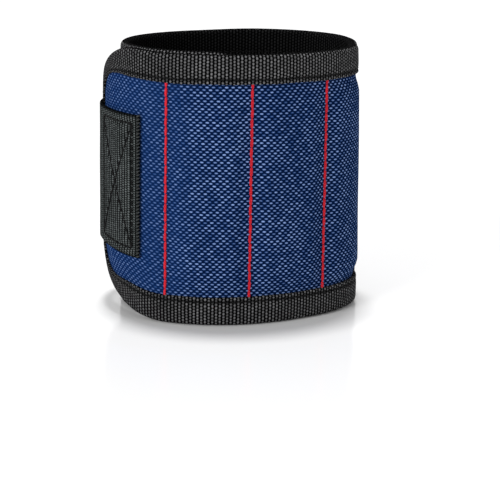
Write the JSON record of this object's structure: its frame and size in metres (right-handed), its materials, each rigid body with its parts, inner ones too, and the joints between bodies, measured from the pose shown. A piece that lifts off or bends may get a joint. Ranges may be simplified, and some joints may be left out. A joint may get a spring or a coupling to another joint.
{
  "type": "magnetic wristband",
  "caption": "Rolled cloth wristband with magnet pockets, bound edges and a hook-and-loop strap; it uncurls nearly flat along its fold lines.",
  "frame": {"origin": "centre of the footprint, on the surface that the lower edge stands on", "axes": "+Z along the wrist; the pockets face -Y and +X; the strap closes round the -X side"},
  "size_m": [0.0886, 0.0766, 0.09],
  "materials": {
    "shell_fabric": "matt navy ballistic weave",
    "lining_mesh": "black open mesh cloth",
    "binding_tape": "black ribbed tape",
    "magnet_nickel": "bright nickel plate",
    "loop_pile": "black soft pile",
    "strap_webbing": "dark elastic webbing"
  },
  "bodies": {
    "strap_tail": {"strap_tail": "strap_webbing"},
    "strap_root": {"strap_root": "strap_webbing"},
    "strap_end": {"shell_strap_end": "shell_fabric", "lining_strap_end": "lining_mesh", "binding_strap_end": "binding_tape", "strap_sewn_part": "strap_webbing"},
    "pocket_1": {"shell_pocket_1": "shell_fabric", "lining_pocket_1": "lining_mesh", "binding_bottom_pocket_1": "binding_tape", "binding_top_pocket_1": "binding_tape", "magnet_bottom_pocket_1": "magnet_nickel", "magnet_middle_pocket_1": "magnet_nickel", "magnet_top_pocket_1": "magnet_nickel"},
    "pocket_2": {"shell_pocket_2": "shell_fabric", "lining_pocket_2": "lining_mesh", "binding_bottom_pocket_2": "binding_tape", "binding_top_pocket_2": "binding_tape", "magnet_bottom_pocket_2": "magnet_nickel", "magnet_middle_pocket_2": "magnet_nickel", "magnet_top_pocket_2": "magnet_nickel"},
    "pocket_3": {"shell_pocket_3": "shell_fabric", "lining_pocket_3": "lining_mesh", "binding_bottom_pocket_3": "binding_tape", "binding_top_pocket_3": "binding_tape", "magnet_bottom_pocket_3": "magnet_nickel", "magnet_middle_pocket_3": "magnet_nickel", "magnet_top_pocket_3": "magnet_nickel"},
    "pocket_4": {"shell_pocket_4": "shell_fabric", "lining_pocket_4": "lining_mesh", "binding_bottom_pocket_4": "binding_tape", "binding_top_pocket_4": "binding_tape", "magnet_bottom_pocket_4": "magnet_nickel", "magnet_middle_pocket_4": "magnet_nickel", "magnet_top_pocket_4": "magnet_nickel"},
    "pocket_5": {"shell_pocket_5": "shell_fabric", "lining_pocket_5": "lining_mesh", "binding_bottom_pocket_5": "binding_tape", "binding_top_pocket_5": "binding_tape", "magnet_bottom_pocket_5": "magnet_nickel", "magnet_middle_pocket_5": "magnet_nickel", "magnet_top_pocket_5": "magnet_nickel"},
    "loop_1": {"shell_loop_1": "shell_fabric", "lining_loop_1": "lining_mesh", "binding_bottom_loop_1": "binding_tape", "binding_top_loop_1": "binding_tape", "loop_panel_loop_1": "loop_pile"},
    "loop_2": {"shell_loop_2": "shell_fabric", "lining_loop_2": "lining_mesh", "binding_bottom_loop_2": "binding_tape", "binding_top_loop_2": "binding_tape", "loop_panel_loop_2": "loop_pile"},
    "loop_3": {"shell_loop_3": "shell_fabric", "lining_loop_3": "lining_mesh", "binding_bottom_loop_3": "binding_tape", "binding_top_loop_3": "binding_tape", "loop_panel_loop_3": "loop_pile"},
    "loop_4": {"shell_loop_4": "shell_fabric", "lining_loop_4": "lining_mesh", "binding_loop_4": "binding_tape", "loop_panel_loop_4": "loop_pile"}
  },
  "joints": [
    {"name": "band_open", "type": "hinge", "parent": "pocket_2", "child": "pocket_3", "pos_m": [0.03309, -0.02203, 0.045], "axis": [0, 0, -1], "range_deg": [0, 35.98]},
    {"name": "seam_2_open", "type": "hinge", "parent": "pocket_2", "child": "pocket_1", "pos_m": [0.0082, -0.03637, 0.045], "axis": [0, 0, 1], "range_deg": [0, 31.65]},
    {"name": "seam_1_open", "type": "hinge", "parent": "pocket_1", "child": "strap_end", "pos_m": [-0.02035, -0.03513, 0.045], "axis": [0, 0, 1], "range_deg": [0, 74.24]},
    {"name": "strap_base_open", "type": "hinge", "parent": "strap_end", "child": "strap_root", "pos_m": [-0.04307, 0.00909, 0.045], "axis": [0, 0, 1], "range_deg": [0, 91.7]},
    {"name": "seam_4_open", "type": "hinge", "parent": "pocket_3", "child": "pocket_4", "pos_m": [0.04456, 0.00399, 0.045], "axis": [0, 0, -1], "range_deg": [0, 48.33]},
    {"name": "seam_5_open", "type": "hinge", "parent": "pocket_4", "child": "pocket_5", "pos_m": [0.03306, 0.02977, 0.045], "axis": [0, 0, -1], "range_deg": [0, 49.38]},
    {"name": "seam_6_open", "type": "hinge", "parent": "pocket_5", "child": "loop_1", "pos_m": [0.00592, 0.03843, 0.045], "axis": [0, 0, -1], "range_deg": [0, 32.94]},
    {"name": "loop_fold_1_open", "type": "hinge", "parent": "loop_1", "child": "loop_2", "pos_m": [-0.02578, 0.02418, 0.045], "axis": [0, 0, -1], "range_deg": [0, 36.06]},
    {"name": "loop_fold_2_open", "type": "hinge", "parent": "loop_2", "child": "loop_3", "pos_m": [-0.03673, -0.00809, 0.045], "axis": [0, 0, -1], "range_deg": [0, 65.51]},
    {"name": "loop_fold_3_open", "type": "hinge", "parent": "loop_3", "child": "loop_4", "pos_m": [-0.01265, -0.03173, 0.045], "axis": [0, 0, -1], "range_deg": [0, 57.43]},
    {"name": "strap_peel", "type": "hinge", "parent": "strap_root", "child": "strap_tail", "pos_m": [-0.03632, 0.01748, 0.045], "axis": [0, 0, 1], "range_deg": [0, 80]}
  ],
  "couplings": [
    {"joint": "seam_2_open", "follows": "band_open", "ratio": 0.8795},
    {"joint": "seam_1_open", "follows": "band_open", "ratio": 2.0632},
    {"joint": "strap_base_open", "follows": "band_open", "ratio": 2.5484},
    {"joint": "seam_4_open", "follows": "band_open", "ratio": 1.343},
    {"joint": "seam_5_open", "follows": "band_open", "ratio": 1.3722},
    {"joint": "seam_6_open", "follows": "band_open", "ratio": 0.9155},
    {"joint": "loop_fold_1_open", "follows": "band_open", "ratio": 1.0021},
    {"joint": "loop_fold_2_open", "follows": "band_open", "ratio": 1.8207},
    {"joint": "loop_fold_3_open", "follows": "band_open", "ratio": 1.5961}
  ]
}
